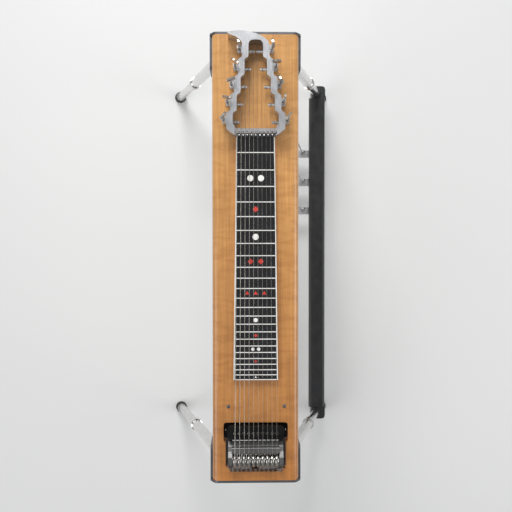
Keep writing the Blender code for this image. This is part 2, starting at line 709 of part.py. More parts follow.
def make_tuner(row, side):
    """A string post with its gear, and the bracket plate and lugs that carry its worm shaft, on one rail."""
    x, z = post_x(row), DECK_TOP + POST_HEIGHT
    face = rail_half(row)
    worm_y = face + WORM_OFFSET
    worm_x = x + GEAR_RADIUS + WORM_RADIUS + GAP
    post = rod("post", (x, side * (face - RAIL_WIDTH - POST_REACH), z), (x, side * (worm_y + 0.001), z),
               POST_RADIUS, FEW_SIDES)
    gear = rod("gear", (x, side * (worm_y - 0.0015), z), (x, side * (worm_y + 0.0015), z), GEAR_RADIUS, 8)
    low = z - LUG_SPAN / 2 - LUG_THICKNESS
    high = z + LUG_SPAN / 2 + LUG_THICKNESS
    back = box("back", (x - 0.0045, min(side * (face - 0.001), side * (face + 0.0015)), low),
               (worm_x + 0.0035, max(side * (face - 0.001), side * (face + 0.0015)), high))
    pieces = [post, gear, back]
    reach = worm_y + KNOB_SHAFT_RADIUS + 0.0018
    for floor in (low, high - LUG_THICKNESS):
        lug = plate("lug", [[(worm_x - 0.0035, side * (face + 0.0005)), (worm_x + 0.0035, side * (face + 0.0005)),
                             (worm_x + 0.0028, side * reach), (worm_x - 0.0028, side * reach)],
                            ring((worm_x, side * worm_y), KNOB_SHAFT_RADIUS + RUNNING, 8)],
                    LUG_THICKNESS, "XY", (0, 0, floor + LUG_THICKNESS / 2))
        pieces.append(lug)
    return pieces


def make_keyhead():
    low, high = DECK_TOP + GAP, DECK_TOP + KEYHEAD_HEIGHT
    outer, window = keyhead_loops()
    keyhead = plate("keyhead", [outer, window], high - low, "XY", (0, 0, (low + high) / 2))
    half = (STRINGS - 1) / 2 * NUT_PITCH + 0.0042
    slot = box("cut_string_slot", (NUT_X - 0.02, -half, DECK_TOP + NUT_BAR_HEIGHT),
               (NUT_X + NUT_BAR_LENGTH, half, high + 0.01))
    trough = rod("cut_roller_trough", (NUT_X, -half - 0.003, roller_z()), (NUT_X, half + 0.003, roller_z()),
                 ROLLER_RADIUS + 0.0005)
    pieces = []
    for row in range(ROWS):
        for side in (-1, 1):
            pieces += make_tuner(row, side)
    keyhead = fuse(keyhead, *pieces)
    return cut(keyhead, slot, trough)


def make_knob(row, side):
    """A worm shaft and its upright oval button, on the worm's own axis."""
    x = post_x(row) + GEAR_RADIUS + WORM_RADIUS + GAP
    y = side * (rail_half(row) + WORM_OFFSET)
    z = DECK_TOP + POST_HEIGHT
    bottom = z - LUG_SPAN / 2 - LUG_THICKNESS - 0.0012
    button_low = DECK_TOP + KEYHEAD_HEIGHT + BUTTON_CLEARANCE
    worm_half = LUG_SPAN / 2 - 0.0004
    profile = [
        (0, button_low + 0.0025), (KNOB_SHAFT_RADIUS + 0.0008, button_low + 0.0020),
        (KNOB_SHAFT_RADIUS + 0.0008, button_low - 0.0020), (KNOB_SHAFT_RADIUS, button_low - 0.0028),
        (KNOB_SHAFT_RADIUS, z + worm_half), (WORM_RADIUS, z + worm_half), (WORM_RADIUS, z - worm_half),
        (KNOB_SHAFT_RADIUS, z - worm_half), (KNOB_SHAFT_RADIUS, bottom), (0, bottom),
    ]
    knob = turned(knob_name(row, side), [(r, h - bottom) for r, h in profile], (x, y, bottom), (x, y, z + 1), FEW_SIDES)
    half_length, half_height = BUTTON_LENGTH / 2, BUTTON_HEIGHT / 2
    turns = [2 * math.pi * i / SIDES for i in range(SIDES)]
    oval = [(half_length * math.cos(a), half_height * (1 + math.sin(a))) for a in turns]
    button = plate("button", [oval], BUTTON_THICKNESS, "XZ")
    angles = BUTTON_ANGLES_REAR if side > 0 else BUTTON_ANGLES_FRONT
    turn = Matrix.Rotation(math.radians(angles[row]), 4, "Z")
    button.data.transform(Matrix.Translation((x, y, button_low)) @ turn)
    return fuse(knob, button), (x, y, z)


def knob_name(row, side):
    """Knobs are named for their strings: 10 to 6 on the player's side and 1 to 5 on the audience side."""
    return f"tuner_knob_{STRINGS - row if side > 0 else row + 1}"


# Strings, from their posts over the nut rollers to the changer

def roller_z():
    return DECK_TOP + STRING_HEIGHT - ROLLER_RADIUS


def make_string(number):
    radius = STRING_RADII[number - 1]
    nut_y = string_y(number, NUT_PITCH)
    bridge_y = string_y(number, BRIDGE_PITCH)
    row = min(number, STRINGS + 1 - number) - 1
    post = (post_x(row), DECK_TOP + POST_HEIGHT)
    wrap = POST_RADIUS + GAP + radius
    points = [(x, nut_y, z) for x, z in arc(post, wrap, -150, 90, 5)]
    level = DECK_TOP + STRING_HEIGHT + radius
    points += [(NUT_X + 0.0012, nut_y, level), (NUT_X, nut_y, level - radius - ROLLER_BITE),
               (NUT_X - 0.0012, nut_y, level)]
    bend = CREST_RADIUS + GAP + radius
    points += [(x, bridge_y, z) for x, z in arc((BRIDGE_X, AXLE_Z), bend, 90, 155, 3)]
    return tube(f"string_{number}", points, radius)


def make_strings():
    """The strings bedded in their nut rollers, which one turned shape makes with the axle between them."""
    half = (STRINGS - 1) / 2 * NUT_PITCH
    end = half + ROLLER_AXLE_PAST
    profile = [(0, 2 * end), (ROLLER_AXLE_RADIUS, 2 * end)]
    for n in range(STRINGS, 0, -1):
        middle = string_y(n, NUT_PITCH) + end
        profile += [(ROLLER_AXLE_RADIUS, middle + ROLLER_HALF), (ROLLER_RADIUS, middle + ROLLER_HALF),
                    (ROLLER_RADIUS, middle - ROLLER_HALF), (ROLLER_AXLE_RADIUS, middle - ROLLER_HALF)]
    profile += [(ROLLER_AXLE_RADIUS, 0), (0, 0)]
    rollers = turned("strings_and_nut_rollers", profile, (NUT_X, -end, roller_z()), (NUT_X, end, roller_z()), 8)
    return fuse(rollers, *[make_string(n) for n in range(1, STRINGS + 1)])


# Pickup

def make_pickup():
    start = BRIDGE_X + RECESS_START - GAP
    end = start - RECESS_LENGTH + 2 * GAP + 0.0010
    middle = (start + end) / 2
    half = RECESS_HALF_WIDTH - GAP
    low = DECK_TOP - RECESS_DEPTH + GAP
    base = plate("pickup", [rectangle((end, -half), (start, half), RECESS_CORNER - GAP)],
                 PICKUP_BASE_THICKNESS, "XY", (0, 0, low + PICKUP_BASE_THICKNESS / 2))
    top = DECK_TOP + PICKUP_HEIGHT
    cover_low = low + PICKUP_BASE_THICKNESS / 2
    x, y = PICKUP_COVER_WIDTH / 2, PICKUP_COVER_LENGTH / 2
    cover = plate("cover", [rectangle((middle - x, -y), (middle + x, y), x * 0.6, 3)], top - cover_low, "XY",
                  (0, 0, (cover_low + top) / 2))
    poles = [
        rod("pole", (middle, string_y(n, BRIDGE_PITCH), top - 0.002),
            (middle, string_y(n, BRIDGE_PITCH), top + 0.0007), POLE_RADIUS, 8)
        for n in range(1, STRINGS + 1)
    ]
    return fuse(base, cover, *poles)


# Changer

def make_changer_frame():
    """Two cheeks that carry the axle, joined by the front bar and its apron, on feet under the deck."""
    bar_rear = BRIDGE_X + CREST_RADIUS + BAR_GAP
    bar_front = bar_rear + BAR_LENGTH
    slope_front = BRIDGE_X + RECESS_START - RECESS_LENGTH - 0.0015
    top = DECK_TOP + BAR_TOP
    section = [
        (bar_rear, top - 0.010), (bar_rear, top - 0.001), (bar_rear + 0.001, top), (bar_front - 0.001, top),
        (bar_front, top - 0.001), (bar_front, DECK_TOP + 0.006), (slope_front, DECK_TOP + 0.0015),
        (slope_front, DECK_TOP - 0.0015), (bar_front - 0.002, DECK_TOP + 0.002),
    ]
    inner = CHANGER_HALF
    frame = plate("changer_frame", [section], 2 * (inner + 0.001), "XZ")
    outline = rounded(
        [(slope_front, DECK_TOP + 0.0015), (slope_front, DECK_UNDER - 0.006), (BRIDGE_X - 0.016, DECK_UNDER - 0.006),
         (BRIDGE_X - 0.016, DECK_TOP + 0.002), (BRIDGE_X - 0.008, AXLE_Z + 0.010),
         (BRIDGE_X + 0.008, AXLE_Z + 0.010), (bar_rear + 0.003, DECK_TOP + 0.0105), (bar_front, DECK_TOP + 0.0075)],
        [0.001, 0.001, 0.001, 0.004, 0.006, 0.006, 0.004, 0.003], 2,
    )
    hole = ring((BRIDGE_X, AXLE_Z), AXLE_RADIUS + RUNNING)
    pieces = []
    for side in (-1, 1):
        near = side * inner
        far = side * (inner + CHEEK_THICKNESS)
        pieces.append(plate("cheek", [outline, hole], CHEEK_THICKNESS, "XZ", (0, (near + far) / 2, 0)))
        lip = side * (inner + CHEEK_THICKNESS + 0.012)
        pieces.append(box("foot", (BRIDGE_X - 0.016, min(near + side * 0.002, lip), DECK_UNDER - 0.006),
                          (slope_front - 0.0005, max(near + side * 0.002, lip), DECK_UNDER - GAP)))
    return fuse(frame, *pieces)


def make_axle():
    half = CHANGER_HALF + CHEEK_THICKNESS
    return rod("changer_axle", (BRIDGE_X, -half, AXLE_Z), (BRIDGE_X, half, AXLE_Z), AXLE_RADIUS)


def make_finger(number):
    """A changer finger: a round crest about the axle and a tail down to its pull rod."""
    y = string_y(number, BRIDGE_PITCH)
    outline = link_outline((BRIDGE_X, AXLE_Z), CREST_RADIUS, (BRIDGE_X, ROD_Z), FINGER_FOOT_RADIUS, 6)
    bore = ring((BRIDGE_X, AXLE_Z), AXLE_RADIUS + RUNNING)
    finger = plate(f"changer_finger_{number}", [outline, bore], FINGER_WIDTH, "XZ", (0, y, 0))
    reach = FINGER_FOOT_RADIUS + 0.005
    return cut(finger, rod(f"cut_rod_hole_{number}", (BRIDGE_X - reach, y, ROD_Z), (BRIDGE_X + reach, y, ROD_Z),
                           ROD_RADIUS + PIN_PLAY, 8))


def control_of(number):
    return next(name for name, strings in CONTROLS.items() if number in strings)


def make_pull_rod(number):
    """A pull rod from its bell crank's pin to the changer, with the nylon nut that tunes it."""
    y = string_y(number, BRIDGE_PITCH)
    x = SHAFT_X[control_of(number)]
    lean = math.asin((CREST_RADIUS - FINGER_FOOT_RADIUS) / FINGER_REACH)
    tail_half = (FINGER_FOOT_RADIUS + TUNING_NUT_RADIUS * math.sin(lean)) / math.cos(lean)
    nut_face = BRIDGE_X - tail_half - GAP
    nut_end = nut_face - TUNING_NUT_LENGTH
    half = BARREL_LENGTH / 2
    wire = rod(f"pull_rod_{number}", (x + half + 0.002, y, ROD_Z), (nut_end - 0.003, y, ROD_Z), ROD_RADIUS, FEW_SIDES)
    barrel = rod("barrel", (x + half, y, ROD_Z), (x - half, y, ROD_Z), BARREL_RADIUS, FEW_SIDES)
    pin_end = y + CRANK_OFFSET + CRANK_THICKNESS / 2 + PIN_PAST_CRANK
    pin = rod("pin", (x, y, ROD_Z), (x, pin_end, ROD_Z), PIN_RADIUS, FEW_SIDES)
    nut = rod("nut", (nut_face, y, ROD_Z), (nut_end, y, ROD_Z), TUNING_NUT_RADIUS, FEW_SIDES)
    return fuse(wire, barrel, pin, nut)


# Cross shafts, knee levers and pedals

def shaft_bar(name, x):
    half = APRON_INNER + SHAFT_SEAT - GAP
    return rod(name, (x, -half, SHAFT_Z), (x, half, SHAFT_Z), SHAFT_RADIUS)


def bell_cranks(control):
    """Cranks that hang from a cross shaft, each beside the pull rod whose pin it takes."""
    x = SHAFT_X[control]
    cranks = []
    for number in CONTROLS[control]:
        outline = link_outline((x, SHAFT_Z), HUB_RADIUS, (x, ROD_Z), CRANK_EYE_RADIUS, 3)
        hole = ring((x, ROD_Z), PIN_RADIUS + PIN_PLAY, 8)
        y = string_y(number, BRIDGE_PITCH) + CRANK_OFFSET
        cranks.append(plate("crank", [outline, hole], CRANK_THICKNESS, "XZ", (0, y, 0)))
    return cranks


def make_pedal_shaft(letter):
    """The cross shaft of one pedal, with its bell cranks and the arm that the pedal rod pulls down."""
    control = f"pedal_{letter}"
    x = SHAFT_X[control]
    arm_x = x - PEDAL_ARM
    outline = link_outline((x, SHAFT_Z), HUB_RADIUS, (arm_x, SHAFT_Z), 0.005, 3)
    hole = ring((arm_x, SHAFT_Z), PEDAL_ROD_RADIUS + PIN_PLAY, 8)
    arm = plate("arm", [outline, hole], 0.003, "XZ", (0, -PEDAL_ARM_Y, 0))
    return fuse(shaft_bar(f"pedal_shaft_{letter}", x), arm, *bell_cranks(control))


def make_knee_lever(control):
    """A knee lever on its cross shaft, with a flat pad for the knee and its bell cranks."""
    x = SHAFT_X[control]
    tip = SHAFT_Z - KNEE_DROP
    pad_top = tip + KNEE_PAD_LENGTH
    outline = link_outline((x, SHAFT_Z), HUB_RADIUS + 0.001, (x, pad_top - 0.012), 0.0055, 3)
    arm = plate("arm", [outline], 0.008, "XZ", (0, KNEE_Y, 0))
    half = KNEE_PAD_WIDTH / 2
    pad = plate("pad", [rectangle((KNEE_Y - half, tip), (KNEE_Y + half, pad_top), half * 0.7)],
                KNEE_PAD_THICKNESS, "YZ", (x, 0, 0))
    return fuse(shaft_bar(f"knee_lever_{control}", x), arm, pad, *bell_cranks(control))


def pedal_axle_y():
    """The pedal bar's middle plane, where it meets the two front legs at the pedal axle's height."""
    closed_end, foot, up = leg_line(1, -1)
    return (foot + up * (PEDAL_AXLE_Z / up.z)).y + 0.004


def pedal_rod_ends(letter):
    """The upper and lower hook corners of a pedal rod."""
    x = PEDAL_X[letter]
    upper = Vector((x, -PEDAL_ARM_Y - 0.005, SHAFT_Z))
    lower = Vector((x, pedal_axle_y() + PEDAL_ROD_LEVER, PEDAL_AXLE_Z))
    return upper, lower


def make_pedal_rod(letter):
    """A straight wire with a hook at each end: along Y in the shaft's arm, and along X in the pedal's lug."""
    upper, lower = pedal_rod_ends(letter)
    up = (upper - lower).normalized()
    bend = 0.003
    points = [
        upper + Vector((0, 0.0100, 0)), upper + Vector((0, bend, 0)), upper - up * bend,
        lower + up * bend, lower + Vector((bend, 0, 0)), lower + Vector((LUG_OFFSET + 0.0045, 0, 0)),
    ]
    return tube(f"pedal_rod_{letter}", points, PEDAL_ROD_RADIUS, 1)


def make_pedal(letter):
    """A pedal: a hub on the axle, an arm that widens to the foot plate, and a lug for its rod."""
    x, y, z = PEDAL_X[letter], pedal_axle_y(), PEDAL_AXLE_Z
    hub_half = PEDAL_HUB_WIDTH / 2
    hub = rod(f"pedal_{letter}", (x - hub_half, y, z), (x + hub_half, y, z), PEDAL_HUB_RADIUS)
    neck, wide = PEDAL_NECK_WIDTH / 2, PEDAL_WIDTH / 2
    tip = y + PEDAL_LENGTH
    outline = rounded(
        [(x - neck, y - 0.004), (x + neck, y - 0.004), (x + neck, y + 0.085), (x + wide, y + 0.115),
         (x + wide, tip), (x - wide, tip), (x - wide, y + 0.115), (x - neck, y + 0.085)],
        [0, 0, 0.020, 0.020, 0.018, 0.018, 0.020, 0.020],
    )
    plate_top = z - PEDAL_HUB_RADIUS + 0.002
    arm = plate("arm", [outline], PEDAL_THICKNESS, "XY", (0, 0, plate_top - PEDAL_THICKNESS / 2))
    lug_y = y + PEDAL_ROD_LEVER
    lug = plate(
        "lug",
        [link_outline((lug_y, z), 0.0065, (lug_y, plate_top - 0.004), 0.0064, 3),
         ring((lug_y, z), PEDAL_ROD_RADIUS + PIN_PLAY, 8)],
        0.005, "YZ", (x + LUG_OFFSET, 0, 0),
    )
    pedal = fuse(hub, arm, lug)
    bore = rod(f"cut_bore_{letter}", (x - hub_half - 0.01, y, z), (x + hub_half + 0.01, y, z),
               PEDAL_AXLE_RADIUS + RUNNING)
    return cut(pedal, bore), (x, y, z)


def make_pedal_bar():
    """A channel between the front legs, with ears that carry the pedals' axle and a clamp on each leg."""
    y, z = pedal_axle_y(), PEDAL_AXLE_Z
    back, front = y - BAR_WIDTH / 2, y + BAR_WIDTH / 2
    top = z + BAR_HEIGHT / 2 + 0.002
    low = top - BAR_HEIGHT
    closed_end, foot, up = leg_line(1, -1)
    clamp_at = foot + up * (z / up.z)
    reach = clamp_at.x - CLAMP_HALF + BAR_WALL
    section = rounded(
        [(back, low), (back, top), (front, top), (front, top - 0.014), (front - BAR_WALL, top - 0.014),
         (front - BAR_WALL, top - BAR_WALL), (back + BAR_WALL, top - BAR_WALL), (back + BAR_WALL, low)],
        [0.001, 0.006, 0.006, 0.001, 0.001, 0.002, 0.002, 0.001], 2,
    )
    bar = plate("pedal_bar", [section], 2 * reach, "YZ")
    pieces = []
    offset = PEDAL_HUB_WIDTH / 2 + 0.0006 + 0.002
    for x in PEDAL_X.values():
        for side in (-1, 1):
            ear = [(y - 0.008, top - 0.003), (y - 0.008, z)] + arc((y, z), 0.008, 180, 360, 4)[1:]
            ear += [(y + 0.008, top - 0.003)]
            pieces.append(plate("ear", [ear], 0.004, "YZ", (x + side * offset, 0, 0)))
    ends = sorted(PEDAL_X.values())
    pieces.append(rod("pedal_axle", (ends[0] - offset - 0.004, y, z), (ends[-1] + offset + 0.004, y, z),
                      PEDAL_AXLE_RADIUS))
    for side in (-1, 1):
        x = side * clamp_at.x
        outline = rectangle((x - CLAMP_HALF, clamp_at.y - CLAMP_HALF),
                            (x + CLAMP_HALF, clamp_at.y + CLAMP_HALF), CLAMP_HALF / 2, 2)
        pieces.append(plate("clamp", [outline], BAR_HEIGHT - 0.006, "XY", (0, 0, (low + top) / 2)))
    bar = fuse(bar, *pieces)
    for end in (-1, 1):
        closed_end, foot, up = leg_line(end, -1)
        cut(bar, rod("cut_leg", foot, foot + up * 0.2, LEG_LOWER_RADIUS + RUNNING))
    return bar


# Assembly

def build():
    maple = new_material("figured_maple", (0.78, 0.47, 0.20), 0.32, 0.0)
    cast = new_material("dark_cast_aluminium", (0.16, 0.16, 0.17), 0.45, 1.0)
    bright = new_material("brushed_cast_aluminium", (0.62, 0.62, 0.64), 0.38, 1.0)
    black = new_material("black_lacquer", (0.012, 0.012, 0.013), 0.30, 0.0)
    steel = new_material("string_steel", (0.55, 0.53, 0.50), 0.25, 1.0)
    chrome = new_material("polished_steel", (0.70, 0.69, 0.68), 0.14, 1.0)
    plastic = new_material("black_plastic", (0.015, 0.015, 0.016), 0.42, 0.0)
    nickel = new_material("aged_nickel", (0.60, 0.56, 0.50), 0.30, 1.0)

    root = bpy.data.objects.new("instrument", None)
    PARTS.objects.link(root)

    dress(make_deck(), maple, parent=root)
    for apron in make_aprons():
        dress(apron, maple, parent=root)
    dress(make_endplate("head_endplate", 1), cast, parent=root)
    dress(make_endplate("tail_endplate", -1), cast, parent=root)
    block, board = make_neck()
    dress(block, maple, parent=root)
    dress(board, black, parent=root)
    keyhead = dress(make_keyhead(), bright, parent=root)
    dress(make_strings(), steel, parent=root)
    dress(make_pickup(), plastic, parent=root)
    frame = dress(make_changer_frame(), bright, parent=root)
    dress(make_axle(), steel, parent=frame)

    for row in range(ROWS):
        for side in (-1, 1):
            knob, pivot = make_knob(row, side)
            dress(knob, nickel, pivot, keyhead)
    for number in range(1, STRINGS + 1):
        y = string_y(number, BRIDGE_PITCH)
        dress(make_finger(number), chrome, (BRIDGE_X, y, AXLE_Z), frame)
        dress(make_pull_rod(number), steel, (SHAFT_X[control_of(number)], y, ROD_Z), root)
    for letter in PEDAL_NAMES:
        x = SHAFT_X[f"pedal_{letter}"]
        dress(make_pedal_shaft(letter), steel, (x, 0, SHAFT_Z), root)
    for control in ("lkl", "lkr", "rkl", "rkr"):
        dress(make_knee_lever(control), bright, (SHAFT_X[control], 0, SHAFT_Z), root)
    bar = dress(make_pedal_bar(), black, parent=root)
    for letter in PEDAL_NAMES:
        pedal, pivot = make_pedal(letter)
        dress(pedal, bright, pivot, bar)
        upper, lower = pedal_rod_ends(letter)
        dress(make_pedal_rod(letter), steel, tuple(lower), root)
    for end, end_name in ((1, "head"), (-1, "tail")):
        for side, side_name in ((-1, "front"), (1, "rear")):
            dress(make_leg(f"leg_{end_name}_{side_name}", end, side), chrome, parent=root)


clear_scene()
PARTS = new_collection("pedal_steel_guitar")
CUTTERS = new_collection("cutters")
build()
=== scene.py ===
"""The looks of the pedal steel guitar: materials, frets, markers, windings, screws, light and camera."""

import json
import math

import bmesh
import bpy
from mathutils import Matrix, Vector

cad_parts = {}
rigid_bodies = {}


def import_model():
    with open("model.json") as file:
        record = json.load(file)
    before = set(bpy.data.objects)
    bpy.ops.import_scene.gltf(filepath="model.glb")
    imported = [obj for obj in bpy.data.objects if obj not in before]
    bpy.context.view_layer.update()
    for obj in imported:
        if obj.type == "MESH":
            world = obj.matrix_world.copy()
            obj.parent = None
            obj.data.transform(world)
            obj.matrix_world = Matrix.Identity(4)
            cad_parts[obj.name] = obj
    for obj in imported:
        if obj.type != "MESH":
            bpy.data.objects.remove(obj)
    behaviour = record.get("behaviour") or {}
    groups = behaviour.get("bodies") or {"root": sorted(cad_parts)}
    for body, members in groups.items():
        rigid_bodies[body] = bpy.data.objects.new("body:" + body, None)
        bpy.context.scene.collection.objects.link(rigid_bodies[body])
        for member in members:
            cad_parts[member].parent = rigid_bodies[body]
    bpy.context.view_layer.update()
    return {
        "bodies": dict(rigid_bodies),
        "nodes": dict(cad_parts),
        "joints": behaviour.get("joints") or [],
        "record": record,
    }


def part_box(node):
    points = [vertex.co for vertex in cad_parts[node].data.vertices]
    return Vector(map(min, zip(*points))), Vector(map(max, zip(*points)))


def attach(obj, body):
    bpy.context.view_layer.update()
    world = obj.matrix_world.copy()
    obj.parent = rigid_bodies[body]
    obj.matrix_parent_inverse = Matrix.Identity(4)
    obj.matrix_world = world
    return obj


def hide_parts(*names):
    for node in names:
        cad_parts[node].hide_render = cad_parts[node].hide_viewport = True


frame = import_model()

JOINTS = {joint["name"]: joint for joint in frame["joints"]}
ROOT = "instrument"

# Sizes that the looks share with the frame
STRINGS = 10
SCALE_LENGTH = 0.6096
NUT_PITCH = 0.00763
BRIDGE = Vector(JOINTS["finger_1_turn"]["pos_m"])
NUT_X = BRIDGE.x + SCALE_LENGTH
BRIDGE_PITCH = Vector(JOINTS["finger_2_turn"]["pos_m"]).y - BRIDGE.y
WORM_TO_POST = 0.0069
POST_RADIUS = 0.003
WRAP_GAP = 0.0003
STRING_HEIGHT = 0.022     # underside of the strings above the deck
ROLLER_REACH = 0.0043     # past the nut rollers' axis, along the strings
STRING_RADII = (0.00016, 0.0002, 0.00015, 0.00018, 0.00023, 0.00029, 0.00036, 0.00043, 0.0005, 0.0006)
FRETS = 24
DECK_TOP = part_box("top_deck")[1].z
BOARD_LOW, BOARD_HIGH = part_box("fretboard")
HAIR = 0.0002             # inlays stand this far above what they lie on
SHARP_ANGLE = math.radians(40)    # edges over it stay sharp in a smooth piece, or get a bevel
SLOT_OF = {entry["node"]: entry["material_slot"] for entry in frame["record"]["subparts"]}

# Changer fingers, as the frame has them, and their crests' rounding
CREST_RADIUS = 0.0127
FINGER_FOOT_RADIUS = 0.0042
FINGER_REACH = 0.060      # from the axle down to the pull rod
FINGER_HALF = 0.00395     # half a finger's width
CREST_ROUNDING = 0.0034
ROUNDING_ANGLES = (0, 18, 36, 54, 72, 90)
CREST_STEPS = 24
FOOT_STEPS = 8

# Fret lines, borders and position markers
BORDER = 0.0024           # fret lines end this far from the board's sides
BORDER_WIDTH = BORDER - 3 * HAIR
FRET_LINE_HALF = 0.0008   # half a fret line's width
LAST_LINE_INSET = 0.0009  # last fret line from the board's end
MARKER_HEIGHT = 0.8 * HAIR
MARKER_SIZE = 0.0058      # largest marker's radius
MARKER_SHARE = 0.26       # of the space between two frets, where that is less
MARKER_SPREAD = 3.4       # marker radii between a marker's places
MARKER_SIDES = {"disc": 28, "diamond": 4, "triangle": 3}

# Small hardware
SCREW_SINK = 0.0008       # screw's foot below its seat
SCREW_RIM = 0.35          # share of a screw's height that is below its dome
SCREW_DOME_ANGLES = (0, 20, 40, 60, 76)
SCREW_SOCKET_MOUTH = (0.16, 0.99)     # shares of a screw's radius and height
SCREW_SOCKET_FLOOR = (0.14, 0.55)
DECK_SCREW_RADIUS = 0.0033
DECK_SCREW_HEIGHT = 0.0018
DECK_SCREW_FROM_NUT = 0.5098
DECK_SCREW_Y = {"front": -0.0540, "rear": 0.0515}
WINDING_TURNS = 4
WINDING_STEPS = 14        # points in a turn
WINDING_GAP = 0.00012     # between turns
FIRST_TURN_GAP = 0.0002   # between the string and its first turn
GEAR_FACE = 0.0014        # gear's outer face past the worm's axis
GEAR_SCREW_RADIUS = 0.0021
GEAR_SCREW_HEIGHT = 0.0012
PICKUP_SCREW_RADIUS = 0.0021
PICKUP_SCREW_HEIGHT = 0.0014
PICKUP_SCREW_INSET = 0.0036   # from the pickup's end
PICKUP_BASE_DROP = 0.0087     # pickup base's top below the deck
POLE_CAP_RADIUS = 0.00255
POLE_CAP_FLAT = 0.0022
POLE_CAP_HEIGHT = 0.0006
POLE_CAP_CHAMFER = 0.0001
POLE_DIMPLE_RADIUS = 0.0008
POLE_DIMPLE_TAPER = 0.0001
POLE_DIMPLE_DEPTH = 0.0003
TREADS = 9
TREAD_PITCH = 0.0095
TREAD_FROM_TIP = 0.022
TREAD_HALF_LENGTH = 0.019
TREAD_HALF_WIDTH = 0.0018
TREAD_HEIGHT = 0.0016
TREAD_SINK = 0.0003
PLATE_BELOW_AXLE = 0.0065     # foot plate's top below the pedal's axle
JACK_BORE = 0.0049
JACK_NUT_RADIUS = 0.0095
JACK_NUT_CHAMFER = 0.0082
JACK_NUT_SHOULDER = 0.0008
JACK_NUT_HEIGHT = 0.0013
JACK_NUT_SINK = 0.0003
JACK_RIM = 0.0016         # the jack's barrel stands this far out of the endplate

# Finishes and studio
RUBBER_TOP = 0.0275       # height of the legs' rubber feet
FLOOR_SIZE = 6.0
FLOOR_COLOUR = (0.78, 0.78, 0.77)
FLOOR_ROUGHNESS = 0.9
WORLD_COLOUR = (0.92, 0.94, 0.96)
WORLD_STRENGTH = 0.42
LAMPS = (                 # name, place, height that it aims at, diameter, watts
    ("key_light", (1.9, 0.35, 2.1), 0.7, 1.2, 44),
    ("fill_light", (-0.8, 1.8, 2.4), 0.6, 2.0, 20),
    ("side_light", (-0.3, -2.0, 1.6), 0.6, 1.6, 16),
)
CAMERA_FROM_NUT = 0.1995
CAMERA_Y = 0.0242
CAMERA_ABOVE_DECK = 1.250
CAMERA_LENS = 46.85
CAMERA_SENSOR = 36
CAMERA_TURN = (-1.233, -1.147, -0.065)    # small turns about its own X, Y and Z from straight down, degrees

# Colours, linear
MAPLE_LIGHT = (0.80, 0.42, 0.145)
MAPLE_MIDDLE = (0.72, 0.36, 0.115)
MAPLE_DARK = (0.56, 0.25, 0.070)
CREAM = (0.78, 0.76, 0.70)
MARKER_RED = (0.46, 0.035, 0.025)
BLACK = (0.008, 0.008, 0.009)


# Material tools

def new_material(name):
    material = bpy.data.materials.new(name)
    material.use_nodes = True
    tree = material.node_tree
    return material, tree.nodes, tree.links, tree.nodes["Principled BSDF"]


def coordinates(nodes, links, scale=(1, 1, 1), turn=(0, 0, 0)):
    source = nodes.new("ShaderNodeTexCoord")
    mapping = nodes.new("ShaderNodeMapping")
    mapping.inputs["Scale"].default_value = scale
    mapping.inputs["Rotation"].default_value = turn
    links.new(source.outputs["Object"], mapping.inputs["Vector"])
    return mapping.outputs["Vector"]


def noise(nodes, links, vector, scale, detail=4.0, roughness=0.5, distortion=0.0):
    texture = nodes.new("ShaderNodeTexNoise")
    texture.inputs["Scale"].default_value = scale
    texture.inputs["Detail"].default_value = detail
    texture.inputs["Roughness"].default_value = roughness
    texture.inputs["Distortion"].default_value = distortion
    links.new(vector, texture.inputs["Vector"])
    return texture.outputs["Fac"]


def ramp(nodes, links, factor, stops):
    """A colour ramp with stops of (position, colour)."""
    node = nodes.new("ShaderNodeValToRGB")
    elements = node.color_ramp.elements
    while len(elements) < len(stops):
        elements.new(0.5)
    for element, (position, colour) in zip(elements, stops):
        element.position = position
        element.color = (*colour, 1)
    links.new(factor, node.inputs["Fac"])
    return node.outputs["Color"]


def grey(value):
    return (value, value, value)


def mix(nodes, links, factor, first, second, mode="MIX"):
    node = nodes.new("ShaderNodeMix")
    node.data_type = "RGBA"
    node.blend_type = mode
    for socket, value in ((node.inputs[0], factor), (node.inputs[6], first), (node.inputs[7], second)):
        if isinstance(value, bpy.types.NodeSocket):
            links.new(value, socket)
        else:
            socket.default_value = value if isinstance(value, float) else (*value, 1)
    return node.outputs[2]


def bump(nodes, links, shader, height, strength, distance):
    node = nodes.new("ShaderNodeBump")
    node.inputs["Strength"].default_value = strength
    node.inputs["Distance"].default_value = distance
    links.new(height, node.inputs["Height"])
    links.new(node.outputs["Normal"], shader.inputs["Normal"])


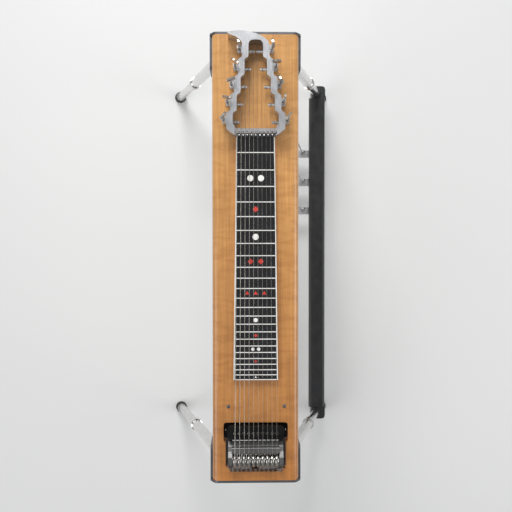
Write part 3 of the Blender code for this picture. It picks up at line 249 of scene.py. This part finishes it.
def figured_maple():
    """Lacquered curly maple: cross ripples, lengthwise streaks, small eyes, and browner towards the changer,
    partly the wood's tone and partly painted shade for the light falling off towards that end.
    """
    material, nodes, links, shader = new_material("figured_maple_lacquered")
    ripple_place = coordinates(nodes, links, (1, 0.30, 0.30), (0, 0, 0.12))
    ripple = noise(nodes, links, ripple_place, 80, 2, 0.5, 0.6)
    streaks = noise(nodes, links, coordinates(nodes, links, (0.03, 1, 1)), 200, 6, 0.65)
    cloud = noise(nodes, links, coordinates(nodes, links), 9, 2)
    eyes = nodes.new("ShaderNodeTexVoronoi")
    eyes.inputs["Scale"].default_value = 190
    links.new(coordinates(nodes, links, (0.7, 1, 1)), eyes.inputs["Vector"])
    figure = ramp(nodes, links, ripple, [(0.36, MAPLE_DARK), (0.50, MAPLE_MIDDLE), (0.66, MAPLE_LIGHT)])
    grain = ramp(nodes, links, streaks, [(0.34, grey(0.62)), (0.62, grey(1.0))])
    tone = ramp(nodes, links, cloud, [(0.30, grey(0.86)), (0.70, grey(1.0))])
    dots = ramp(nodes, links, eyes.outputs["Distance"], [(0.06, grey(0.72)), (0.20, grey(1.0))])
    plain = mix(nodes, links, 0.45, MAPLE_MIDDLE, figure)
    colour = mix(nodes, links, 0.65, plain, grain, "MULTIPLY")
    colour = mix(nodes, links, 0.8, colour, tone, "MULTIPLY")
    colour = mix(nodes, links, 0.5, colour, dots, "MULTIPLY")
    place = nodes.new("ShaderNodeSeparateXYZ")
    links.new(coordinates(nodes, links), place.inputs["Vector"])
    lengthwise = nodes.new("ShaderNodeMapRange")
    lengthwise.inputs["From Min"].default_value = BRIDGE.x
    lengthwise.inputs["From Max"].default_value = NUT_X
    links.new(place.outputs["X"], lengthwise.inputs["Value"])
    # Painted shade: darker and browner towards the changer, partly the maple's tone and partly the light's
    # falloff away from the keyhead end
    changer_end_tone_and_painted_shade = ramp(nodes, links, lengthwise.outputs[0], [(0.0, (0.74, 0.58, 0.40)), (1.0, grey(1.0))])
    colour = mix(nodes, links, 1.0, colour, changer_end_tone_and_painted_shade, "MULTIPLY")
    links.new(colour, shader.inputs["Base Color"])
    shader.inputs["Roughness"].default_value = 0.34
    shader.inputs["Coat Weight"].default_value = 0.6
    shader.inputs["Coat Roughness"].default_value = 0.12
    bump(nodes, links, shader, streaks, 0.10, 0.0004)
    return material


def metal(name, colour, rough, scratch, bump_strength, stretch=(1, 1, 1), scale=400):
    """A metal with fine brushing or casting grain, and slight stains."""
    material, nodes, links, shader = new_material(name)
    fine = noise(nodes, links, coordinates(nodes, links, stretch), scale, 4, 0.6)
    stain = noise(nodes, links, coordinates(nodes, links), 35, 3, 0.6)
    low, high = tuple(0.78 * c for c in colour), colour
    base = ramp(nodes, links, stain, [(0.32, low), (0.62, high)])
    grain = ramp(nodes, links, fine, [(0.30, grey(1 - scratch)), (0.70, grey(1.0))])
    links.new(mix(nodes, links, 0.7, base, grain, "MULTIPLY"), shader.inputs["Base Color"])
    shader.inputs["Metallic"].default_value = 1.0
    links.new(ramp(nodes, links, fine, [(0.25, grey(rough * 0.75)), (0.75, grey(min(1, rough * 1.3)))]),
              shader.inputs["Roughness"])
    bump(nodes, links, shader, fine, bump_strength, 0.0002)
    return material


def lacquer(name, colour, rough, scale=500, strength=0.06, specular=0.5):
    """Paint, lacquer or moulded plastic with slight wear in its gloss."""
    material, nodes, links, shader = new_material(name)
    fine = noise(nodes, links, coordinates(nodes, links), scale, 3)
    wear = noise(nodes, links, coordinates(nodes, links), 40, 4, 0.6)
    lighter = tuple(min(1, c * 1.6 + 0.004) for c in colour)
    links.new(ramp(nodes, links, wear, [(0.35, colour), (0.75, lighter)]), shader.inputs["Base Color"])
    links.new(ramp(nodes, links, wear, [(0.30, grey(rough * 0.8)), (0.75, grey(min(1, rough * 1.35)))]),
              shader.inputs["Roughness"])
    shader.inputs["Specular IOR Level"].default_value = specular
    bump(nodes, links, shader, fine, strength, 0.0002)
    return material


def string_metal():
    """Drawn and wound string wire with fine rings, and dull grey rollers where the strings cross the nut."""
    material, nodes, links, shader = new_material("string_wire")
    rings = nodes.new("ShaderNodeTexWave")
    rings.inputs["Scale"].default_value = 900
    links.new(coordinates(nodes, links), rings.inputs["Vector"])
    stain = noise(nodes, links, coordinates(nodes, links), 60, 3)
    wire = ramp(nodes, links, stain, [(0.3, (0.42, 0.38, 0.33)), (0.7, (0.74, 0.70, 0.64))])
    roller = ramp(nodes, links, stain, [(0.3, (0.10, 0.10, 0.095)), (0.7, (0.20, 0.19, 0.18))])
    place = nodes.new("ShaderNodeSeparateXYZ")
    links.new(coordinates(nodes, links), place.inputs["Vector"])
    near_nut = nodes.new("ShaderNodeMath")
    near_nut.operation = "COMPARE"
    near_nut.inputs[1].default_value = NUT_X
    near_nut.inputs[2].default_value = ROLLER_REACH
    links.new(place.outputs["X"], near_nut.inputs[0])
    below_wire = nodes.new("ShaderNodeMath")
    below_wire.operation = "LESS_THAN"
    below_wire.inputs[1].default_value = DECK_TOP + STRING_HEIGHT
    links.new(place.outputs["Z"], below_wire.inputs[0])
    on_roller = nodes.new("ShaderNodeMath")
    on_roller.operation = "MULTIPLY"
    links.new(near_nut.outputs[0], on_roller.inputs[0])
    links.new(below_wire.outputs[0], on_roller.inputs[1])
    links.new(mix(nodes, links, on_roller.outputs[0], wire, roller), shader.inputs["Base Color"])
    links.new(ramp(nodes, links, on_roller.outputs[0], [(0.0, grey(0.28)), (1.0, grey(0.5))]),
              shader.inputs["Roughness"])
    shader.inputs["Metallic"].default_value = 1.0
    bump(nodes, links, shader, rings.outputs["Fac"], 0.25, 0.0001)
    return material


def leg_finish():
    """Polished tube with a black rubber foot below a height."""
    material, nodes, links, shader = new_material("leg_tube_and_rubber")
    place = nodes.new("ShaderNodeSeparateXYZ")
    links.new(coordinates(nodes, links), place.inputs["Vector"])
    is_tube = nodes.new("ShaderNodeMath")
    is_tube.operation = "GREATER_THAN"
    is_tube.inputs[1].default_value = RUBBER_TOP
    links.new(place.outputs["Z"], is_tube.inputs[0])
    scuff = noise(nodes, links, coordinates(nodes, links), 80, 4, 0.6)
    tube = ramp(nodes, links, scuff, [(0.3, (0.60, 0.59, 0.58)), (0.7, (0.80, 0.79, 0.78))])
    rubber = ramp(nodes, links, scuff, [(0.3, (0.012, 0.012, 0.012)), (0.7, (0.035, 0.034, 0.033))])
    links.new(mix(nodes, links, is_tube.outputs[0], rubber, tube), shader.inputs["Base Color"])
    links.new(is_tube.outputs[0], shader.inputs["Metallic"])
    gloss = ramp(nodes, links, is_tube.outputs[0], [(0.0, grey(0.75)), (1.0, grey(0.16))])
    links.new(gloss, shader.inputs["Roughness"])
    bump(nodes, links, shader, scuff, 0.05, 0.0003)
    return material


MAPLE = figured_maple()
DARK_CAST = metal("dark_cast_metal", (0.20, 0.20, 0.21), 0.42, 0.25, 0.35, scale=700)
BRUSHED = metal("brushed_cast_metal", (0.72, 0.72, 0.74), 0.36, 0.22, 0.20, (0.08, 1, 1), 900)
FRAME_CAST = metal("changer_frame_metal", (0.24, 0.235, 0.23), 0.46, 0.35, 0.20, (1, 0.08, 1), 900)
CHROME = metal("polished_finger_metal", (0.42, 0.40, 0.37), 0.16, 0.12, 0.05, (1, 0.1, 1), 700)
NICKEL = metal("aged_nickel_metal", (0.66, 0.61, 0.54), 0.26, 0.30, 0.12, scale=350)
SHAFT = metal("bright_shaft_metal", (0.62, 0.60, 0.57), 0.25, 0.20, 0.10, (1, 0.05, 1), 800)
WIRE = string_metal()
BOARD = lacquer("black_board_lacquer", BLACK, 0.24)
BAR_PAINT = lacquer("black_bar_paint", (0.012, 0.012, 0.013), 0.38, 350, 0.12)
PLASTIC = lacquer("black_moulded_plastic", (0.004, 0.004, 0.004), 0.50, 420, 0.10, 0.12)
INLAY = lacquer("cream_inlay", CREAM, 0.35)
RED = lacquer("red_inlay", MARKER_RED, 0.35)
RUBBER = lacquer("tread_rubber", (0.02, 0.02, 0.02), 0.75, 300, 0.3)
LEGS = leg_finish()

FINISH = {"figured_maple": MAPLE, "dark_cast_aluminium": DARK_CAST, "brushed_cast_aluminium": BRUSHED,
          "black_lacquer": BAR_PAINT, "string_steel": SHAFT, "polished_steel": CHROME,
          "black_plastic": PLASTIC, "aged_nickel": NICKEL}
OWN_FINISH = {"fretboard": BOARD, "strings_and_nut_rollers": WIRE, "changer_frame": FRAME_CAST}


def dress_frame():
    """Each carried-over solid takes the material of its slot, or its own."""
    for node, piece in frame["nodes"].items():
        material = OWN_FINISH.get(node, FINISH[SLOT_OF[node]])
        if node.startswith("leg_"):
            material = LEGS
        for slot in piece.material_slots:
            slot.material = material


# Geometry tools

def mesh_piece(name, work, material, body, smooth=False):
    bmesh.ops.recalc_face_normals(work, faces=work.faces)
    mesh = bpy.data.meshes.new(name)
    work.to_mesh(mesh)
    work.free()
    piece = bpy.data.objects.new(name, mesh)
    bpy.context.scene.collection.objects.link(piece)
    mesh.materials.append(material)
    if smooth:
        mesh.shade_smooth()
        mesh.set_sharp_from_angle(angle=SHARP_ANGLE)
    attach(piece, body)
    return piece


def add_prism(work, outline, low, high):
    """A closed prism on an outline of (x, y) points between two heights."""
    below = [work.verts.new((x, y, low)) for x, y in outline]
    above = [work.verts.new((x, y, high)) for x, y in outline]
    count = len(outline)
    work.faces.new(below[::-1])
    work.faces.new(above)
    for i in range(count):
        j = (i + 1) % count
        work.faces.new((below[i], below[j], above[j], above[i]))


def add_turned(work, profile, matrix, sides=20):
    """A closed turned shape: (radius, height) points along its outside, about the matrix's Z axis."""
    rings = []
    for radius, height in profile:
        if radius == 0:
            rings.append([work.verts.new(matrix @ Vector((0, 0, height)))])
            continue
        ring = []
        for k in range(sides):
            angle = 2 * math.pi * k / sides
            spot = Vector((radius * math.cos(angle), radius * math.sin(angle), height))
            ring.append(work.verts.new(matrix @ spot))
        rings.append(ring)
    for lower, upper in zip(rings, rings[1:]):
        for k in range(sides):
            n = (k + 1) % sides
            corners = [lower[0]] if len(lower) == 1 else [lower[k], lower[n]]
            corners += [upper[0]] if len(upper) == 1 else [upper[n], upper[k]]
            if len(corners) > 2:
                work.faces.new(corners)


def wire_piece(name, points, radius, material, body):
    curve = bpy.data.curves.new(name, "CURVE")
    curve.dimensions = "3D"
    curve.bevel_depth = radius
    curve.bevel_resolution = 2
    curve.use_fill_caps = True
    spline = curve.splines.new("POLY")
    spline.points.add(len(points) - 1)
    for point, place in zip(spline.points, points):
        point.co = (*place, 1)
    piece = bpy.data.objects.new(name, curve)
    bpy.context.scene.collection.objects.link(piece)
    curve.materials.append(material)
    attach(piece, body)


def string_y(number, pitch):
    return (number - (STRINGS + 1) / 2) * pitch


# Solids with softened edges

EDGE_WIDTHS = {"keyhead": 0.0007, "changer_frame": 0.0006, "head_endplate": 0.0008, "tail_endplate": 0.0008,
               "pickup": 0.0009, "pedal_a": 0.0007, "pedal_b": 0.0007, "pedal_c": 0.0007, "pedal_bar": 0.0006}


def soften_edges():
    """The cast and moulded pieces again, with small bevels that catch the light along their edges."""
    for node, width in EDGE_WIDTHS.items():
        source = frame["nodes"][node]
        piece = bpy.data.objects.new(f"{node}_softened", source.data.copy())
        bpy.context.scene.collection.objects.link(piece)
        piece.matrix_world = source.matrix_world.copy()
        for slot, old in zip(piece.material_slots, source.material_slots):
            slot.material = old.material
        bevel = piece.modifiers.new("Edges", "BEVEL")
        bevel.width = width
        bevel.segments = 2
        bevel.limit_method = "ANGLE"
        bevel.angle_limit = SHARP_ANGLE
        bevel.harden_normals = True
        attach(piece, node if node in frame["bodies"] else ROOT)
        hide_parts(node)


# Fretboard

def fret_x(fret):
    return NUT_X - SCALE_LENGTH * (1 - 2 ** (-fret / 12))


def board_half(x):
    """Half the fretboard's width at a place along it, from its own corners."""
    verts = [v.co for v in frame["nodes"]["fretboard"].data.vertices]
    near = max(abs(v.y) for v in verts if abs(v.x - BOARD_HIGH.x) < 1e-4)
    far = max(abs(v.y) for v in verts if abs(v.x - BOARD_LOW.x) < 1e-4)
    share = (BOARD_HIGH.x - x) / (BOARD_HIGH.x - BOARD_LOW.x)
    return near + (far - near) * share


def make_fret_lines():
    work = bmesh.new()
    for fret in range(1, FRETS + 1):
        x = max(fret_x(fret), BOARD_LOW.x + LAST_LINE_INSET)
        near, far = x - FRET_LINE_HALF, x + FRET_LINE_HALF
        half = board_half(x) - BORDER
        corners = [(near, -half), (far, -half), (far, half), (near, half)]
        add_prism(work, corners, BOARD_HIGH.z - HAIR, BOARD_HIGH.z + HAIR)
    mesh_piece("fret_lines", work, INLAY, ROOT)


def make_borders():
    for side, name in ((-1, "front"), (1, "rear")):
        work = bmesh.new()
        near, far = BOARD_HIGH.x - HAIR, BOARD_LOW.x + HAIR
        outer_near, outer_far = board_half(near) - HAIR, board_half(far) - HAIR
        inner_near, inner_far = outer_near - BORDER_WIDTH, outer_far - BORDER_WIDTH
        corners = [(near, side * outer_near), (near, side * inner_near), (far, side * inner_far),
                   (far, side * outer_far)]
        add_prism(work, corners, BOARD_HIGH.z - HAIR, BOARD_HIGH.z + HAIR)
        mesh_piece(f"fretboard_border_{name}", work, INLAY, ROOT)


def marker_outline(kind, x, y, size):
    sides = MARKER_SIDES[kind]
    angles = [2 * math.pi * k / sides for k in range(sides)]
    return [(x + size * math.cos(angle), y + size * math.sin(angle)) for angle in angles]


# Position markers: fret, motif, material, and places across the board
MARKERS = (
    (3, "disc", INLAY, (-0.5, 0.5)), (5, "diamond", RED, (0,)), (7, "disc", INLAY, (0,)),
    (9, "diamond", RED, (-0.5, 0.5)), (12, "triangle", RED, (-1, 0, 1)), (15, "disc", INLAY, (0,)),
    (17, "diamond", RED, (0,)), (19, "disc", INLAY, (-0.5, 0.5)), (21, "diamond", RED, (0,)),
    (24, "triangle", INLAY, (0,)),
)


def make_markers():
    for fret, kind, material, places in MARKERS:
        x = (fret_x(fret) + fret_x(fret - 1)) / 2
        gap = fret_x(fret - 1) - fret_x(fret)
        size = min(MARKER_SIZE, gap * MARKER_SHARE)
        work = bmesh.new()
        for place in places:
            outline = marker_outline(kind, x, place * size * MARKER_SPREAD, size)
            add_prism(work, outline, BOARD_HIGH.z - HAIR, BOARD_HIGH.z + MARKER_HEIGHT)
        mesh_piece(f"marker_{fret}", work, material, ROOT)


# Small hardware

def screw_profile(radius, height):
    """A domed head with a small round socket, from its foot up."""
    profile = [(0, -SCREW_SINK), (radius, -SCREW_SINK)]
    for angle in map(math.radians, SCREW_DOME_ANGLES):
        rise = SCREW_RIM + (1 - SCREW_RIM) * math.sin(angle)
        profile.append((radius * math.cos(angle), height * rise))
    for across, rise in (SCREW_SOCKET_MOUTH, SCREW_SOCKET_FLOOR, (0, SCREW_SOCKET_FLOOR[1])):
        profile.append((radius * across, height * rise))
    return profile


def make_screw(name, matrix, radius, height, material):
    work = bmesh.new()
    add_turned(work, screw_profile(radius, height), matrix)
    mesh_piece(name, work, material, ROOT, smooth=True)


def make_deck_screws():
    for name, y in DECK_SCREW_Y.items():
        seat = Matrix.Translation((NUT_X - DECK_SCREW_FROM_NUT, y, DECK_TOP))
        make_screw(f"deck_screw_{name}", seat, DECK_SCREW_RADIUS, DECK_SCREW_HEIGHT, DARK_CAST)


def tuner_side(number):
    """Strings 1 to 5 have their tuners on the audience side, -1, and 6 to 10 on the player's side, 1."""
    return -1 if number <= STRINGS / 2 else 1


def make_windings():
    """String ends wound on the posts, each turn a wire's width from the last."""
    for number in range(1, STRINGS + 1):
        side = tuner_side(number)
        pivot = Vector(JOINTS[f"tuner_{number}_turn"]["pos_m"])
        post_x = pivot.x - WORM_TO_POST
        radius = STRING_RADII[number - 1]
        coil = POST_RADIUS + WRAP_GAP + radius
        start = string_y(number, NUT_PITCH) + side * (2 * radius + FIRST_TURN_GAP)
        pitch = 2 * radius + WINDING_GAP
        points = []
        for k in range(WINDING_TURNS * WINDING_STEPS + 1):
            angle = 2 * math.pi * k / WINDING_STEPS
            y = start + side * pitch * k / WINDING_STEPS
            points.append((post_x + coil * math.sin(angle), y, pivot.z + coil * math.cos(angle)))
        wire_piece(f"string_winding_{number}", points, radius, WIRE, ROOT)


def make_tuner_screws():
    """The screw that holds each gear on its post."""
    for number in range(1, STRINGS + 1):
        side = tuner_side(number)
        pivot = Vector(JOINTS[f"tuner_{number}_turn"]["pos_m"])
        gear = Matrix.Translation((pivot.x - WORM_TO_POST, pivot.y + side * GEAR_FACE, pivot.z))
        turn = Matrix.Rotation(math.radians(-90 * side), 4, "X")
        make_screw(f"gear_screw_{number}", gear @ turn, GEAR_SCREW_RADIUS, GEAR_SCREW_HEIGHT, NICKEL)


def make_pickup_trim():
    """Height screws at the pickup's ends, and a steel cap with a dimple on each pole."""
    low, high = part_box("pickup")
    middle = (low.x + high.x) / 2
    for name, y in (("front", low.y + PICKUP_SCREW_INSET), ("rear", high.y - PICKUP_SCREW_INSET)):
        seat = Matrix.Translation((middle, y, DECK_TOP - PICKUP_BASE_DROP))
        make_screw(f"pickup_screw_{name}", seat, PICKUP_SCREW_RADIUS, PICKUP_SCREW_HEIGHT, NICKEL)
    top = high.z
    foot, shoulder, floor = top - POLE_CAP_HEIGHT, top - POLE_CAP_CHAMFER, top - POLE_DIMPLE_DEPTH
    profile = [(0, foot), (POLE_CAP_RADIUS, foot), (POLE_CAP_RADIUS, shoulder), (POLE_CAP_FLAT, top),
               (POLE_DIMPLE_RADIUS, top), (POLE_DIMPLE_RADIUS - POLE_DIMPLE_TAPER, floor), (0, floor)]
    for number in range(1, STRINGS + 1):
        work = bmesh.new()
        place = Matrix.Translation((middle, string_y(number, BRIDGE_PITCH), 0))
        add_turned(work, profile, place, 24)
        mesh_piece(f"pole_cap_{number}", work, NICKEL, ROOT, smooth=True)


def make_pedal_treads():
    """Raised rubber ribs across each foot plate."""
    for letter in ("a", "b", "c"):
        low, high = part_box(f"pedal_{letter}")
        pivot = Vector(JOINTS[f"pedal_{letter}_press"]["pos_m"])
        top = pivot.z - PLATE_BELOW_AXLE
        middle = (low.x + high.x) / 2
        left, right = middle - TREAD_HALF_LENGTH, middle + TREAD_HALF_LENGTH
        work = bmesh.new()
        for k in range(TREADS):
            y = high.y - TREAD_FROM_TIP - TREAD_PITCH * k
            near, far = y - TREAD_HALF_WIDTH, y + TREAD_HALF_WIDTH
            add_prism(work, [(left, near), (right, near), (right, far), (left, far)], top - TREAD_SINK,
                      top + TREAD_HEIGHT)
        mesh_piece(f"pedal_tread_{letter}", work, RUBBER, f"pedal_{letter}")


def finger_outline(inset):
    """Arcs about the axle and the pull rod with straight sides that touch both, drawn in by an inset."""
    lean = math.acos((CREST_RADIUS - FINGER_FOOT_RADIUS) / FINGER_REACH)
    arcs = ((CREST_RADIUS - inset, 0, lean - math.pi / 2, 2 * (math.pi - lean), CREST_STEPS),
            (FINGER_FOOT_RADIUS - inset, -FINGER_REACH, -math.pi / 2 - lean, 2 * lean, FOOT_STEPS))
    points = []
    for radius, height, first, sweep, steps in arcs:
        for k in range(steps + 1):
            angle = first + sweep * k / steps
            points.append((radius * math.cos(angle), height + radius * math.sin(angle)))
    return points


def make_fingers():
    """Changer fingers with rounded crests for the plainer solids, as outlines that shrink to the sides."""
    for number in range(1, STRINGS + 1):
        pivot = Vector(JOINTS[f"finger_{number}_turn"]["pos_m"])
        work = bmesh.new()
        rings = []
        for side, angles in ((-1, ROUNDING_ANGLES[::-1]), (1, ROUNDING_ANGLES)):
            for angle in angles:
                inset = CREST_ROUNDING * (1 - math.cos(math.radians(angle)))
                y = side * (FINGER_HALF - CREST_ROUNDING * (1 - math.sin(math.radians(angle))))
                rings.append([work.verts.new(pivot + Vector((x, y, z))) for x, z in finger_outline(inset)])
        for near, far in zip(rings, rings[1:]):
            for k in range(len(near)):
                n = (k + 1) % len(near)
                work.faces.new((near[k], near[n], far[n], far[k]))
        work.faces.new(rings[0])
        work.faces.new(rings[-1])
        body = f"finger_{number}"
        piece = mesh_piece(f"{body}_rounded", work, CHROME, body, smooth=True)
        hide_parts(f"changer_finger_{number}")


def make_jack_nut():
    """The six-sided nut round the jack's bore."""
    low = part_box("tail_endplate")[0]
    opening = next(o for o in frame["record"]["physics"]["openings"] if o["name"] == "jack_socket")
    z = (opening["box_m"][0][2] + opening["box_m"][1][2]) / 2
    work = bmesh.new()
    matrix = Matrix.Translation((low.x + JACK_RIM, 0, z)) @ Matrix.Rotation(math.radians(-90), 4, "Y")
    profile = [(JACK_BORE, -JACK_NUT_SINK), (JACK_NUT_RADIUS, -JACK_NUT_SINK),
               (JACK_NUT_RADIUS, JACK_NUT_SHOULDER), (JACK_NUT_CHAMFER, JACK_NUT_HEIGHT),
               (JACK_BORE, JACK_NUT_HEIGHT), (JACK_BORE, -JACK_NUT_SINK)]
    add_turned(work, profile, matrix, 6)
    mesh_piece("jack_nut", work, NICKEL, ROOT)


# Studio

def make_floor():
    bpy.ops.mesh.primitive_plane_add(size=FLOOR_SIZE, location=(0, 0, 0))
    floor = bpy.context.object
    floor.name = "studio_floor"
    material, _, _, shader = new_material("pale_floor")
    shader.inputs["Base Color"].default_value = (*FLOOR_COLOUR, 1)
    shader.inputs["Roughness"].default_value = FLOOR_ROUGHNESS
    floor.data.materials.append(material)


def area_light(name, place, aim_height, size, power):
    """A round lamp that aims at a height above the origin."""
    data = bpy.data.lights.new(name, "AREA")
    data.shape = "DISK"
    data.size = size
    data.energy = power
    lamp = bpy.data.objects.new(name, data)
    bpy.context.scene.collection.objects.link(lamp)
    lamp.location = place
    aim = Vector((0, 0, aim_height)) - Vector(place)
    lamp.rotation_euler = aim.to_track_quat("-Z", "Y").to_euler()


def make_light():
    for lamp in LAMPS:
        area_light(*lamp)
    world = bpy.data.worlds.new("studio")
    world.use_nodes = True
    background = world.node_tree.nodes["Background"]
    background.inputs["Color"].default_value = (*WORLD_COLOUR, 1)
    background.inputs["Strength"].default_value = WORLD_STRENGTH
    bpy.context.scene.world = world


def make_camera():
    data = bpy.data.cameras.new("camera")
    data.lens = CAMERA_LENS
    data.sensor_width = CAMERA_SENSOR
    camera = bpy.data.objects.new("camera", data)
    bpy.context.scene.collection.objects.link(camera)
    place = Matrix.Translation((NUT_X - CAMERA_FROM_NUT, CAMERA_Y, DECK_TOP + CAMERA_ABOVE_DECK))
    # The frame's +X is up in the picture and its -Y is to the right
    straight_down = Matrix(((0, 1, 0), (-1, 0, 0), (0, 0, 1))).to_4x4()
    turn = Matrix.Identity(4)
    for angle, axis in zip(CAMERA_TURN, "XYZ"):
        turn = turn @ Matrix.Rotation(math.radians(angle), 4, axis)
    camera.matrix_world = place @ straight_down @ turn
    bpy.context.scene.camera = camera


dress_frame()
soften_edges()
make_fret_lines()
make_borders()
make_markers()
make_deck_screws()
make_windings()
make_tuner_screws()
make_pickup_trim()
make_pedal_treads()
make_fingers()
make_jack_nut()
make_floor()
make_light()
make_camera()
bpy.context.scene.view_settings.view_transform = "Standard"
